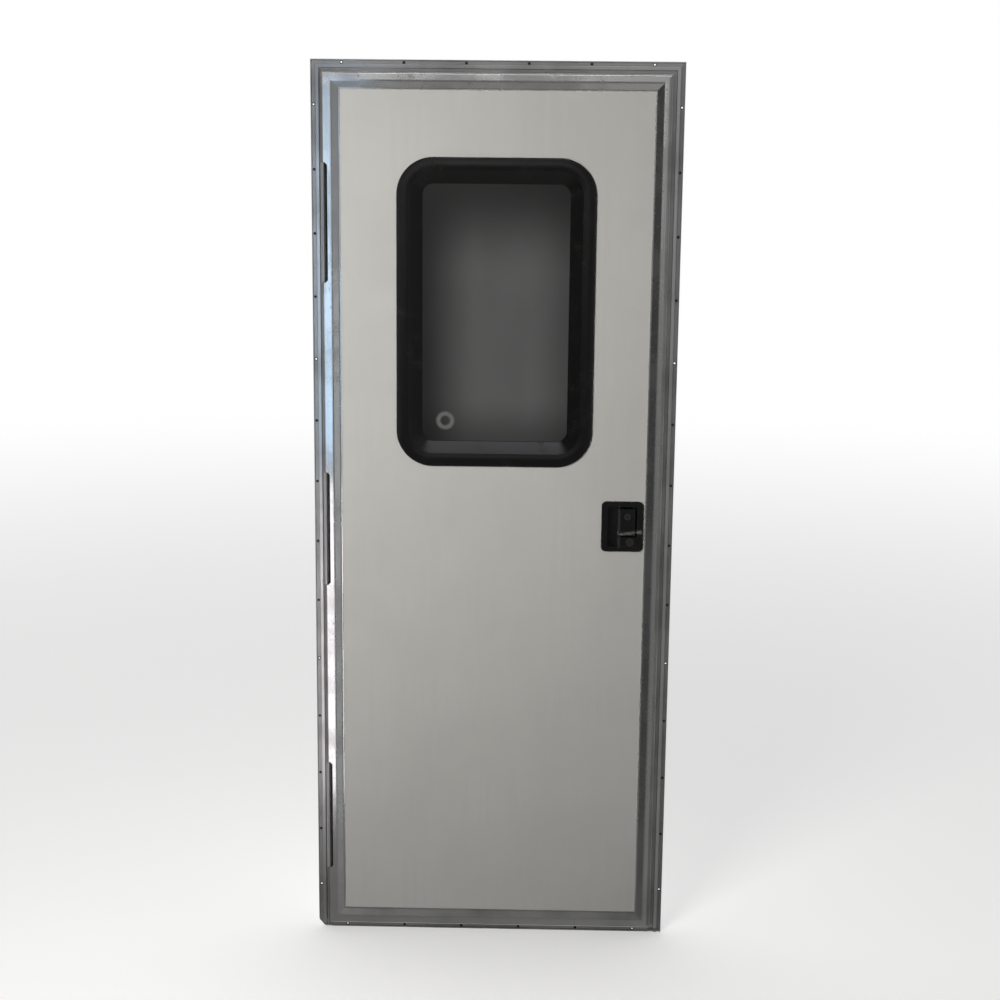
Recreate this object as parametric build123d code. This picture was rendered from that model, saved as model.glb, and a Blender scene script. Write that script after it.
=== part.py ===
from build123d import *
import os
from math import atan2, copysign, degrees

# Caravan entry door in millimetres. X runs to the right seen from outside, Y into the caravan, Z up.
# Y = 0 is the wall's outer face, where the frame's flange seats, and heights count from the flange's
# bottom edge until the pieces are written, with the origin in the middle of the sill flange's seat.
# A section is drawn as (u, y): u runs inward from the frame's outer edge, y into the caravan.

# Frame: overall size and extrusion walls
FRAME_WIDTH = 762.0
FRAME_HEIGHT = 1880.0
FLANGE_WALL = 1.8
BEAD_WIDTH = 2.5
BEAD_PROUD = 4.5
BAND_START = 9.5
BAND_WIDTH = 8.0
BAND_PROUD = 5.0
EDGE_SOFTENING = 1.2
LINER_WALL = 2.0
LINER_DEPTH = 46.0
STOP_SETBACK = 36.0
STOP_WIDTH = 17.0
LOWER_CORNER_RADIUS = 24.0

# Screw holes down the middle of the flange's channel; a side row lies on some marks of an even scale
SCREW_HOLE_DIAMETER = 4.8
SIDE_HOLE_LOW = 100.0
SIDE_HOLE_TOP_INSET = 90.0
SIDE_HOLE_MARKS = (0, 4, 9, 13)
END_HOLE_INSET = 63.5

# Leaf: how much flange shows round it, its edge extrusion and its sandwich panel
FLANGE_COVER = 25.4
SILL_COVER = 16.0
LIP_OVERHANG = 10.0
LIP_BACK_Y = -9.0
LEAF_CLEARANCE = 6.4
LEAF_WALL = 1.8
RAIL_FACE = 34.6
CREST_PROUD_OF_SKIN = 7.5
CREST_WIDTH = 17.6
TONGUE_WIDTH = 3.0
BACK_LEG_WIDTH = 20.0
NOSE_RADIUS = 5.0
SHOULDER_RADIUS = 12.0
HEEL_RADIUS = 8.0
SKIN_FRONT_Y = -12.5
SKIN_THICKNESS = 1.5
CORE_THICKNESS = 29.5

# Hinge: one long pin through the leaf's barrel and three frame knuckles
PIN_INSET = 25.0
PIN_DIAMETER = 4.0
PIN_END_INSET = 4.0
BARREL_DIAMETER = 7.0
RUNNING_CLEARANCE = 0.08
KNUCKLE_LENGTH = 241.0
LOWER_KNUCKLE_HEIGHT = 268.0
UPPER_KNUCKLE_INSET = 328.0
KNUCKLE_END_GAP = 1.5
KNUCKLE_WALL = 3.0
NOTCH_CLEARANCE = 6.0
NOTCH_CORNER_SLANT = 5.0

# Bulb seal on the stop
SEAL_WIDTH = 10.0
SEAL_BASE = 2.0
SEAL_BULB_DIAMETER = 8.0
SEAL_OFFSET = 4.0

# Window
WINDOW_TOP_INSET = 193.0
WINDOW_WIDTH = 411.0
WINDOW_HEIGHT = 639.0
WINDOW_RADIUS = 76.0
WINDOW_RIM = 27.0
WINDOW_SURROUND = 53.0
WINDOW_PROUD = 6.5
WINDOW_EDGE_CHAMFER = 3.0
WINDOW_CUTOUT_INSET = 24.0
CUTOUT_CLEARANCE = 1.0
WINDOW_LAND = 2.0
GLASS_THICKNESS = 4.0
GLASS_BITE = 10.0
GLAZING_SEAL = 1.0
GLAZING_SEAL_WIDTH = 8.0
GLASS_FRONT_Y = -4.0
TRIM_RING_THICKNESS = 5.0
TRIM_RING_INSET = 2.0
TRIM_RING_FLARE = 19.0
TRIM_RING_CHAMFER = 2.0

# Paddle lock, outside
LOCK_INSET = 108.0
LOCK_MIDDLE = 923.0
LOCK_WIDTH = 88.0
LOCK_HEIGHT = 108.0
LOCK_RADIUS = 10.0
LOCK_PROUD = 6.0
LOCK_EDGE_CHAMFER = 1.8
LOCK_HOLE_WIDTH = 72.0
LOCK_HOLE_HEIGHT = 96.0
LOCK_HOLE_RADIUS = 6.0
LOCK_BODY_DEPTH = 18.5
WELL_WALL = 4.0
PADDLE_LEFT = -7.5
PADDLE_BOTTOM = -18.0
PADDLE_CLEARANCE = 5.0
PADDLE_THICKNESS = 3.5
PADDLE_GRIP_DEPTH = 8.0
PADDLE_BARREL_DIAMETER = 8.0
PADDLE_PIN_DIAMETER = 3.0
PADDLE_PIN_SEAT = 3.0
PADDLE_SIDE_GAP = 2.0
PADDLE_SINK = 0.5
PADDLE_CYLINDER_DIAMETER = 15.0
PADDLE_CYLINDER_X = 11.0
PADDLE_CYLINDER_Z = 22.0
CYLINDER_LENGTH = 7.0
CYLINDER_PROUD = 1.2
KEYWAY_WIDTH = 1.6
KEYWAY_HEIGHT = 8.0
KEYWAY_DEPTH = 4.0
DEADBOLT_CYLINDER_DIAMETER = 18.0
DEADBOLT_CYLINDER_X = 17.0

# Lock case, bolts, edge plate and strike
BOLT_DEPTH = 9.0
LATCH_BOLT_HEIGHT = 16.0
DEADBOLT_HEIGHT = 20.0
LATCH_BOLT_Z = 18.0
DEADBOLT_Z = -26.0
BOLT_CLEARANCE = 0.6
BOLT_BEVEL = 7.0
EDGE_PLATE_WIDTH = 14.0
EDGE_PLATE_LENGTH = 100.0
EDGE_PLATE_RADIUS = 4.0
EDGE_PLATE_CLEARANCE = 0.2
STRIKE_THICKNESS = 1.2
STRIKE_WIDTH = 24.0
STRIKE_LENGTH = 116.0
STRIKE_RADIUS = 4.0
STRIKE_CLEARANCE = 2.0

# Inside hardware
INSIDE_PLATE_THICKNESS = 4.0
INSIDE_PLATE_EDGE = 1.5
LEVER_X = 14.0
LEVER_Z = 18.0
LEVER_BOSS_DIAMETER = 26.0
LEVER_BOSS_LENGTH = 16.0
LEVER_LENGTH = 66.0
LEVER_ROOT_DIAMETER = 17.0
LEVER_TIP_DIAMETER = 12.0
LEVER_THICKNESS = 9.0
TURN_X = 14.0
TURN_Z = -26.0
TURN_BOSS_DIAMETER = 24.0
TURN_BOSS_LENGTH = 5.0
TURN_WING_LENGTH = 20.0
TURN_WING_THICKNESS = 6.0
TURN_WING_HEIGHT = 14.0
TURN_WING_CHAMFER = 2.0

# Places worked out from the sizes above
LEFT_EDGE = -FRAME_WIDTH / 2
RIGHT_EDGE = FRAME_WIDTH / 2
LEAF_LEFT = LEFT_EDGE + FLANGE_COVER
LEAF_RIGHT = RIGHT_EDGE - FLANGE_COVER
LEAF_TOP = FRAME_HEIGHT - FLANGE_COVER
LEAF_BOTTOM = SILL_COVER
LEAF_MIDDLE = (LEAF_TOP + LEAF_BOTTOM) / 2
PANEL_INSET = LIP_OVERHANG + LEAF_WALL
PANEL_WIDTH = LEAF_RIGHT - LEAF_LEFT - 2 * PANEL_INSET
PANEL_HEIGHT = LEAF_TOP - LEAF_BOTTOM - 2 * PANEL_INSET
WEB_U = FLANGE_COVER + LIP_OVERHANG
JAMB_FACE_U = WEB_U - LEAF_CLEARANCE
SILL_FACE_U = SILL_COVER + LIP_OVERHANG - LEAF_CLEARANCE
CORE_FRONT_Y = SKIN_FRONT_Y + SKIN_THICKNESS
CORE_BACK_Y = CORE_FRONT_Y + CORE_THICKNESS
LEAF_BACK_Y = CORE_BACK_Y + SKIN_THICKNESS
CREST_Y = SKIN_FRONT_Y - CREST_PROUD_OF_SKIN
TONGUE_Y = SKIN_FRONT_Y - LEAF_WALL
PIN_Y = CREST_Y + BARREL_DIAMETER / 2
PIN_X = LEFT_EDGE + PIN_INSET
BORE_DIAMETER = PIN_DIAMETER + 2 * RUNNING_CLEARANCE
NOTCH_U = PIN_INSET + BARREL_DIAMETER / 2 + NOTCH_CLEARANCE
HOLE_INSET = (BEAD_WIDTH + BAND_START) / 2
MITRE_REACH = RAIL_FACE + FLANGE_COVER
THROUGH = 200.0

UPPER_KNUCKLE_HEIGHT = FRAME_HEIGHT - UPPER_KNUCKLE_INSET
KNUCKLE_HEIGHTS = {
    "upper_hinge_knuckle": UPPER_KNUCKLE_HEIGHT,
    "middle_hinge_knuckle": (UPPER_KNUCKLE_HEIGHT + LOWER_KNUCKLE_HEIGHT) / 2,
    "lower_hinge_knuckle": LOWER_KNUCKLE_HEIGHT,
}

WINDOW_MIDDLE = FRAME_HEIGHT - WINDOW_TOP_INSET - WINDOW_HEIGHT / 2
LOCK_X = RIGHT_EDGE - LOCK_INSET
LOCK_FRONT_Y = SKIN_FRONT_Y - LOCK_PROUD
LOCK_BODY_WIDTH = LOCK_HOLE_WIDTH - 2 * CUTOUT_CLEARANCE
LOCK_BODY_HEIGHT = LOCK_HOLE_HEIGHT - 2 * CUTOUT_CLEARANCE
LOCK_BODY_BACK_Y = SKIN_FRONT_Y + LOCK_BODY_DEPTH
WELL_WIDTH = LOCK_BODY_WIDTH - 2 * WELL_WALL
WELL_HEIGHT = LOCK_BODY_HEIGHT - 2 * WELL_WALL
WELL_RADIUS = LOCK_HOLE_RADIUS - CUTOUT_CLEARANCE
WELL_FLOOR_Y = LOCK_BODY_BACK_Y - WELL_WALL
PADDLE_TOP = WELL_HEIGHT / 2 - PADDLE_CLEARANCE
BLOCK_TOP = PADDLE_BOTTOM - PADDLE_CLEARANCE
PADDLE_AXIS_X = WELL_WIDTH / 2 - PADDLE_SIDE_GAP - PADDLE_BARREL_DIAMETER / 2
PADDLE_FRONT_Y = LOCK_FRONT_Y + PADDLE_SINK
PADDLE_AXIS_Y = PADDLE_FRONT_Y + PADDLE_BARREL_DIAMETER / 2
DEADBOLT_CYLINDER_Z = (BLOCK_TOP - WELL_HEIGHT / 2) / 2
BOLT_Y = (LOCK_BODY_BACK_Y + CORE_BACK_Y) / 2
BOLT_START_X = LOCK_X + LOCK_BODY_WIDTH / 2
WEB_RIGHT_X = RIGHT_EDGE - WEB_U
PANEL_RIGHT_X = WEB_RIGHT_X - LEAF_WALL
JAMB_RIGHT_X = RIGHT_EDGE - JAMB_FACE_U
BOLTS = {"latch_bolt": (LATCH_BOLT_Z, LATCH_BOLT_HEIGHT), "deadbolt": (DEADBOLT_Z, DEADBOLT_HEIGHT)}


def strip(u0, u1, y0, y1):
    """A rectangle of a section, from its four limits."""
    return Pos((u0 + u1) / 2, (y0 + y1) / 2) * Rectangle(u1 - u0, y1 - y0)


def carry(section, corner, inward, length):
    """A section (u, y) carried along one side, half its length each way from the corner point's level."""
    inward = Vector(*inward)
    side = Plane(origin=corner, x_dir=inward, z_dir=inward.cross(Vector(0, 1, 0)))
    return extrude(side * section, amount=length / 2, both=True)


def zone(*points):
    """A prism through the door's depth over a polygon of (x, z) points, used to mitre the bars."""
    return extrude(Plane.XZ * make_face(Polyline(*points, close=True)), amount=THROUGH, both=True)


def slab(outline, x, height, front, back):
    """An outline seen from outside, centred at (x, height), made solid between two depths."""
    plane = Plane(origin=(x, back, height), x_dir=(1, 0, 0), z_dir=(0, -1, 0))
    return extrude(plane * outline, amount=back - front)


def block(x0, x1, y0, y1, z0, z1):
    """A box from its limits."""
    middle = Pos((x0 + x1) / 2, (y0 + y1) / 2, (z0 + z1) / 2)
    return middle * Box(x1 - x0, y1 - y0, z1 - z0)


def rod(x, y, z0, z1, diameter):
    """An upright cylinder between two heights."""
    return Pos(x, y, (z0 + z1) / 2) * Cylinder(diameter / 2, z1 - z0)


def flange_section(reach, with_band):
    """The frame's flange: outer bead, screw channel and, on jambs and header, a raised band."""
    section = strip(0, reach, -FLANGE_WALL, 0) + strip(0, BEAD_WIDTH, -BEAD_PROUD, 0)
    if with_band:
        section += strip(BAND_START, BAND_START + BAND_WIDTH, -BAND_PROUD, 0)
    crests = section.vertices().filter_by(lambda corner: corner.Y < -FLANGE_WALL - EDGE_SOFTENING)
    return fillet(crests, EDGE_SOFTENING)


def liner_section(face):
    """The frame's liner through the wall and its stop, whose inner face lies at the given u."""
    wall = strip(face - LINER_WALL, face, -FLANGE_WALL, LINER_DEPTH)
    stop = strip(face, face + STOP_WIDTH, STOP_SETBACK, STOP_SETBACK + LINER_WALL)
    return wall + stop


def screw_holes(xs, heights):
    """Holes through the flange at every pairing of the given x and height."""
    hole = Rot(90, 0, 0) * Cylinder(SCREW_HOLE_DIAMETER / 2, 4 * FLANGE_WALL)
    return [Pos(x, 0, height) * hole for x in xs for height in heights]


def frame_members():
    """Two jambs and the header mitred at the top, and the sill set between the jambs."""
    side_row = FRAME_HEIGHT - SIDE_HOLE_TOP_INSET - SIDE_HOLE_LOW
    side_heights = [SIDE_HOLE_LOW + side_row * mark / SIDE_HOLE_MARKS[-1] for mark in SIDE_HOLE_MARKS]
    end_xs = [LEFT_EDGE + END_HOLE_INSET, RIGHT_EDGE - END_HOLE_INSET]
    sill_underside = SILL_FACE_U - LINER_WALL
    liner_height = FRAME_HEIGHT - sill_underside
    liner_middle = sill_underside + liner_height / 2
    members = {}
    for name, edge, way in (("hinge_jamb", LEFT_EDGE, 1), ("latch_jamb", RIGHT_EDGE, -1)):
        inward = (way, 0, 0)
        flange = carry(flange_section(JAMB_FACE_U, True), (edge, 0, FRAME_HEIGHT / 2), inward, FRAME_HEIGHT)
        liner = carry(liner_section(JAMB_FACE_U), (edge, 0, liner_middle), inward, liner_height)
        inner = edge + way * MITRE_REACH
        mitre = zone((edge, 0), (edge, FRAME_HEIGHT), (inner, FRAME_HEIGHT - MITRE_REACH), (inner, 0))
        if name == "hinge_jamb":
            lower_corner = mitre.edges().filter_by(Axis.Y).sort_by_distance((edge, 0, 0))[0]
            mitre = fillet(lower_corner, LOWER_CORNER_RADIUS)
        members[name] = ((flange + liner) & mitre) - screw_holes([edge + way * HOLE_INSET], side_heights)

    section = flange_section(JAMB_FACE_U, True) + liner_section(JAMB_FACE_U)
    header = carry(section, (0, 0, FRAME_HEIGHT), (0, 0, -1), FRAME_WIDTH)
    mitre = zone(
        (LEFT_EDGE, FRAME_HEIGHT),
        (RIGHT_EDGE, FRAME_HEIGHT),
        (RIGHT_EDGE - MITRE_REACH, FRAME_HEIGHT - MITRE_REACH),
        (LEFT_EDGE + MITRE_REACH, FRAME_HEIGHT - MITRE_REACH),
    )
    members["header"] = (header & mitre) - screw_holes(end_xs, [FRAME_HEIGHT - HOLE_INSET])

    section = flange_section(SILL_FACE_U, False) + liner_section(SILL_FACE_U)
    sill = carry(section, (0, 0, 0), (0, 0, 1), FRAME_WIDTH - 2 * JAMB_FACE_U)
    sill -= screw_holes(end_xs, [HOLE_INSET])
    members["sill"] = sill - members["hinge_jamb"] - members["latch_jamb"]
    members["latch_jamb"] -= bolt_ways(JAMB_RIGHT_X, JAMB_RIGHT_X + LINER_WALL, STRIKE_CLEARANCE)
    return members


def bolt_ways(x0, x1, clearance):
    """Openings on the lock's edge side that the two bolts run in, between two x limits."""
    ways = []
    for height, tall in BOLTS.values():
        middle = LOCK_MIDDLE + height
        deep = BOLT_DEPTH / 2 + clearance
        half = tall / 2 + clearance
        ways.append(block(x0, x1, BOLT_Y - deep, BOLT_Y + deep, middle - half, middle + half))
    return ways


def seal_section(face):
    """A flat-based bulb strip on the stop of a member whose inner face lies at the given u."""
    start = face + SEAL_OFFSET
    bulb_y = STOP_SETBACK - SEAL_BASE / 2 - SEAL_BULB_DIAMETER / 2
    base = strip(start, start + SEAL_WIDTH, STOP_SETBACK - SEAL_BASE, STOP_SETBACK)
    bulb = Pos(start + SEAL_WIDTH / 2, bulb_y) * Circle(SEAL_BULB_DIAMETER / 2)
    return base + bulb


def seals():
    """Bulb seals round the stop: the side strips run through and the others fit between them."""
    jamb_inner = JAMB_FACE_U + SEAL_OFFSET
    low = SILL_FACE_U + SEAL_OFFSET
    high = FRAME_HEIGHT - jamb_inner
    side = seal_section(JAMB_FACE_U)
    across = FRAME_WIDTH - 2 * (jamb_inner + SEAL_WIDTH)
    return {
        "hinge_side_seal": carry(side, (LEFT_EDGE, 0, (low + high) / 2), (1, 0, 0), high - low),
        "latch_side_seal": carry(side, (RIGHT_EDGE, 0, (low + high) / 2), (-1, 0, 0), high - low),
        "top_seal": carry(side, (0, 0, FRAME_HEIGHT), (0, 0, -1), across),
        "bottom_seal": carry(seal_section(SILL_FACE_U), (0, 0, 0), (0, 0, 1), across),
    }


def frame_hinge():
    """Three long knuckles standing on the hinge jamb's flange, and the pin through them all."""
    left = PIN_INSET - BARREL_DIAMETER / 2
    foot = strip(left, JAMB_FACE_U, -FLANGE_WALL - KNUCKLE_WALL, -FLANGE_WALL)
    leg = strip(left, left + KNUCKLE_WALL, PIN_Y, -FLANGE_WALL)
    section = foot + leg + Pos(PIN_INSET, PIN_Y) * Circle(BARREL_DIAMETER / 2)
    section -= Pos(PIN_INSET, PIN_Y) * Circle(BORE_DIAMETER / 2)
    pieces = {}
    for name, height in KNUCKLE_HEIGHTS.items():
        pieces[name] = carry(section, (LEFT_EDGE, 0, height), (1, 0, 0), KNUCKLE_LENGTH)
    low, high = LEAF_BOTTOM + PIN_END_INSET, LEAF_TOP - PIN_END_INSET
    pieces["hinge_pin"] = rod(PIN_X, PIN_Y, low, high, PIN_DIAMETER)
    return pieces


def strike_plate():
    """The thin plate on the latch jamb's liner, with a way for each bolt."""
    plane = Plane(origin=(JAMB_RIGHT_X, BOLT_Y, LOCK_MIDDLE), x_dir=(0, 1, 0), z_dir=(-1, 0, 0))
    plate = extrude(plane * RectangleRounded(STRIKE_WIDTH, STRIKE_LENGTH, STRIKE_RADIUS), STRIKE_THICKNESS)
    return plate - bolt_ways(JAMB_RIGHT_X - STRIKE_THICKNESS, JAMB_RIGHT_X, STRIKE_CLEARANCE)


def leaf_section(with_barrel):
    """The leaf's edge extrusion: a crested face lapping the panel, a web and a leg behind it."""
    crest_end = FLANGE_COVER + CREST_WIDTH
    face_end = FLANGE_COVER + RAIL_FACE
    tail = [(crest_end, CREST_Y), (face_end - TONGUE_WIDTH, TONGUE_Y), (face_end, TONGUE_Y)]
    if with_barrel:
        path = FilletPolyline((PIN_INSET, CREST_Y), *tail, radius=[SHOULDER_RADIUS, HEEL_RADIUS])
    else:
        nose = [(FLANGE_COVER, LIP_BACK_Y), (FLANGE_COVER, CREST_Y)]
        path = FilletPolyline(*nose, *tail, radius=[NOSE_RADIUS, SHOULDER_RADIUS, HEEL_RADIUS])
    face = make_face(offset(path, amount=LEAF_WALL, side=Side.LEFT))
    web = strip(WEB_U, WEB_U + LEAF_WALL, CREST_Y + LEAF_WALL / 2, LEAF_BACK_Y + LEAF_WALL)
    leg = strip(WEB_U, WEB_U + BACK_LEG_WIDTH, LEAF_BACK_Y, LEAF_BACK_Y + LEAF_WALL)
    section = face + web + leg
    if with_barrel:
        section += Pos(PIN_INSET, PIN_Y) * Circle(BARREL_DIAMETER / 2)
        section -= Pos(PIN_INSET, PIN_Y) * Circle(BORE_DIAMETER / 2)
    return section


def leaf_rails():
    """The leaf's four edge extrusions, mitred, the hinge stile notched for the frame's knuckles."""
    tall = LEAF_TOP - LEAF_BOTTOM
    wide = LEAF_RIGHT - LEAF_LEFT
    left, right = LEAF_LEFT + RAIL_FACE, LEAF_RIGHT - RAIL_FACE
    low, high = LEAF_BOTTOM + RAIL_FACE, LEAF_TOP - RAIL_FACE
    plain = leaf_section(False)
    sill_shift = Pos(SILL_COVER - FLANGE_COVER, 0)

    hinge_stile = carry(leaf_section(True), (LEFT_EDGE, 0, LEAF_MIDDLE), (1, 0, 0), tall)
    hinge_stile &= zone(
        (LEFT_EDGE, LEAF_BOTTOM),
        (LEAF_LEFT, LEAF_BOTTOM),
        (left, low),
        (left, high),
        (LEAF_LEFT, LEAF_TOP),
        (LEFT_EDGE, LEAF_TOP),
    )
    for height in KNUCKLE_HEIGHTS.values():
        notch = Pos(LEFT_EDGE + NOTCH_U / 2, 0, height) * Box(
            NOTCH_U, THROUGH, KNUCKLE_LENGTH + 2 * KNUCKLE_END_GAP
        )
        corners = notch.edges().filter_by(Axis.Y).group_by(Axis.X)[-1]
        hinge_stile -= chamfer(corners, NOTCH_CORNER_SLANT)

    latch_stile = carry(plain, (RIGHT_EDGE, 0, LEAF_MIDDLE), (-1, 0, 0), tall)
    latch_stile &= zone((LEAF_RIGHT, LEAF_BOTTOM), (right, low), (right, high), (LEAF_RIGHT, LEAF_TOP))
    latch_stile -= edge_plate_blank(EDGE_PLATE_CLEARANCE)
    top_rail = carry(plain, (0, 0, FRAME_HEIGHT), (0, 0, -1), wide)
    top_rail &= zone((LEAF_LEFT, LEAF_TOP), (LEAF_RIGHT, LEAF_TOP), (right, high), (left, high))
    bottom_rail = carry(sill_shift * plain, (0, 0, 0), (0, 0, 1), wide)
    bottom_rail &= zone((LEAF_LEFT, LEAF_BOTTOM), (LEAF_RIGHT, LEAF_BOTTOM), (right, low), (left, low))
    return {
        "hinge_stile": hinge_stile,
        "latch_stile": latch_stile,
        "top_rail": top_rail,
        "bottom_rail": bottom_rail,
    }


def window_outline(inset):
    """The window's outline drawn in by an inset, its corners drawn in with it."""
    return RectangleRounded(WINDOW_WIDTH - 2 * inset, WINDOW_HEIGHT - 2 * inset, WINDOW_RADIUS - inset)


def window_slab(inset, front, back):
    """The window's outline at an inset, made solid between two depths."""
    return slab(window_outline(inset), 0, WINDOW_MIDDLE, front, back)


def window_taper(wide_inset, wide_y, narrow_inset, narrow_y):
    """A tapered opening from one of the window's outlines to a narrower one."""
    depth = narrow_y - wide_y
    plane = Plane(origin=(0, wide_y, WINDOW_MIDDLE), x_dir=(1, 0, 0), z_dir=(0, copysign(1, depth), 0))
    slope = degrees(atan2(narrow_inset - wide_inset, abs(depth)))
    return extrude(plane * window_outline(wide_inset), amount=abs(depth), taper=slope)


def lock_slab(width, height, radius, front, back):
    """A rounded rectangle centred on the lock, made solid between two depths."""
    return slab(RectangleRounded(width, height, radius), LOCK_X, LOCK_MIDDLE, front, back)


def lock_body(front, back):
    """What fills the panel's lock hole, less a clearance, between two depths."""
    return lock_slab(LOCK_BODY_WIDTH, LOCK_BODY_HEIGHT, LOCK_HOLE_RADIUS, front, back)


def panel():
    """Outer skin, core and inner skin, cut through for window and lock, the core out to the lock's edge."""
    window_hole = window_slab(WINDOW_CUTOUT_INSET, -THROUGH, THROUGH)
    lock_hole = lock_slab(LOCK_HOLE_WIDTH, LOCK_HOLE_HEIGHT, LOCK_HOLE_RADIUS, -THROUGH, THROUGH)
    sheet = Rectangle(PANEL_WIDTH, PANEL_HEIGHT)
    layers = {
        "outer_skin": slab(sheet, 0, LEAF_MIDDLE, SKIN_FRONT_Y, CORE_FRONT_Y),
        "core": slab(sheet, 0, LEAF_MIDDLE, CORE_FRONT_Y, CORE_BACK_Y),
        "inner_skin": slab(sheet, 0, LEAF_MIDDLE, CORE_BACK_Y, LEAF_BACK_Y),
    }
    layers = {name: layer - window_hole - lock_hole for name, layer in layers.items()}
    low, high = LOCK_MIDDLE - LOCK_HOLE_HEIGHT / 2, LOCK_MIDDLE + LOCK_HOLE_HEIGHT / 2
    layers["core"] -= block(LOCK_X, PANEL_RIGHT_X, CORE_FRONT_Y, CORE_BACK_Y, low, high)
    return layers


def window():
    """Moulded outer frame with a bevel to the glass, glazing seal, glass and the ring that clamps it."""
    front = SKIN_FRONT_Y - WINDOW_PROUD
    seal_front = GLASS_FRONT_Y - GLAZING_SEAL
    glass_back = GLASS_FRONT_Y + GLASS_THICKNESS
    glass_inset = WINDOW_SURROUND - GLASS_BITE
    hub_inset = WINDOW_CUTOUT_INSET + CUTOUT_CLEARANCE

    outer = window_slab(0, front, SKIN_FRONT_Y)
    outer = chamfer(outer.edges().group_by(Axis.Y)[0], WINDOW_EDGE_CHAMFER)
    outer += window_slab(hub_inset, SKIN_FRONT_Y, seal_front)
    outer -= window_slab(WINDOW_SURROUND, front, seal_front)
    outer -= window_taper(WINDOW_RIM, front, WINDOW_SURROUND, seal_front - WINDOW_LAND)

    ring_back = LEAF_BACK_Y + TRIM_RING_THICKNESS
    ring = window_slab(hub_inset, glass_back, LEAF_BACK_Y)
    ring += window_slab(TRIM_RING_INSET, LEAF_BACK_Y, ring_back)
    ring -= window_taper(WINDOW_SURROUND - TRIM_RING_FLARE, ring_back, WINDOW_SURROUND, glass_back)
    ring = chamfer(ring.edges().group_by(Axis.Y)[-1], TRIM_RING_CHAMFER)

    seal = window_slab(glass_inset, seal_front, GLASS_FRONT_Y)
    seal -= window_slab(glass_inset + GLAZING_SEAL_WIDTH, seal_front, GLASS_FRONT_Y)
    return {
        "window_frame": outer,
        "window_trim_ring": ring,
        "window_glass": window_slab(glass_inset, GLASS_FRONT_Y, glass_back),
        "glazing_seal": seal,
    }


def round_plug(x, z, diameter, back):
    """A round plug standing a little out of the paddle's face, placed from the lock's middle."""
    return slab(Circle(diameter / 2), LOCK_X + x, LOCK_MIDDLE + z, PADDLE_FRONT_Y - CYLINDER_PROUD, back)


def key_cylinder(x, z, diameter):
    """A lock cylinder facing out, with a keyway."""
    front = PADDLE_FRONT_Y - CYLINDER_PROUD
    keyway = Rectangle(KEYWAY_WIDTH, KEYWAY_HEIGHT)
    keyway = slab(keyway, LOCK_X + x, LOCK_MIDDLE + z, front, front + KEYWAY_DEPTH)
    return round_plug(x, z, diameter, front + CYLINDER_LENGTH) - keyway


def latch_outside():
    """Housing with its finger well and deadbolt block, the paddle on its pin, and both key cylinders."""
    axis_x = LOCK_X + PADDLE_AXIS_X
    well_right = LOCK_X + WELL_WIDTH / 2
    well_low, well_high = LOCK_MIDDLE - WELL_HEIGHT / 2, LOCK_MIDDLE + WELL_HEIGHT / 2
    grip_left = LOCK_X + PADDLE_LEFT
    block_top = LOCK_MIDDLE + BLOCK_TOP
    paddle_place = (PADDLE_CYLINDER_X, PADDLE_CYLINDER_Z, PADDLE_CYLINDER_DIAMETER)
    deadbolt_place = (DEADBOLT_CYLINDER_X, DEADBOLT_CYLINDER_Z, DEADBOLT_CYLINDER_DIAMETER)
    bore = PADDLE_PIN_DIAMETER + 2 * RUNNING_CLEARANCE
    pin_low, pin_high = block_top - PADDLE_PIN_SEAT, well_high + PADDLE_PIN_SEAT

    housing = lock_slab(LOCK_WIDTH, LOCK_HEIGHT, LOCK_RADIUS, LOCK_FRONT_Y, SKIN_FRONT_Y)
    housing = chamfer(housing.edges().group_by(Axis.Y)[0], LOCK_EDGE_CHAMFER)
    housing += lock_body(SKIN_FRONT_Y, LOCK_BODY_BACK_Y)
    well = lock_slab(WELL_WIDTH, WELL_HEIGHT, WELL_RADIUS, LOCK_FRONT_Y, WELL_FLOOR_Y)
    well -= block(grip_left, well_right, PADDLE_FRONT_Y, WELL_FLOOR_Y, well_low, block_top)
    housing -= well
    housing -= rod(axis_x, PADDLE_AXIS_Y, pin_low, pin_high, bore)
    housing -= round_plug(*deadbolt_place, PADDLE_FRONT_Y - CYLINDER_PROUD + CYLINDER_LENGTH)

    low, high = LOCK_MIDDLE + PADDLE_BOTTOM, LOCK_MIDDLE + PADDLE_TOP
    back, grip_back = PADDLE_FRONT_Y + PADDLE_THICKNESS, PADDLE_FRONT_Y + PADDLE_GRIP_DEPTH
    paddle = block(grip_left, axis_x, PADDLE_FRONT_Y, back, low, high)
    paddle += block(grip_left, grip_left + PADDLE_THICKNESS, PADDLE_FRONT_Y, grip_back, low, high)
    paddle += rod(axis_x, PADDLE_AXIS_Y, low, high, PADDLE_BARREL_DIAMETER)
    paddle -= rod(axis_x, PADDLE_AXIS_Y, low, high, bore)
    paddle -= round_plug(*paddle_place, back)
    return {
        "latch_housing": housing,
        "paddle": paddle,
        "paddle_pin": rod(axis_x, PADDLE_AXIS_Y, pin_low, pin_high, PADDLE_PIN_DIAMETER),
        "paddle_cylinder": key_cylinder(*paddle_place),
        "deadbolt_cylinder": key_cylinder(*deadbolt_place),
    }


def edge_plate_blank(clearance):
    """The edge plate's outline through the latch stile's web, grown by a clearance."""
    plane = Plane(origin=(WEB_RIGHT_X, BOLT_Y, LOCK_MIDDLE), x_dir=(0, 1, 0), z_dir=(-1, 0, 0))
    outline = RectangleRounded(
        EDGE_PLATE_WIDTH + 2 * clearance, EDGE_PLATE_LENGTH + 2 * clearance, EDGE_PLATE_RADIUS + clearance
    )
    return extrude(plane * outline, LEAF_WALL)


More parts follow.
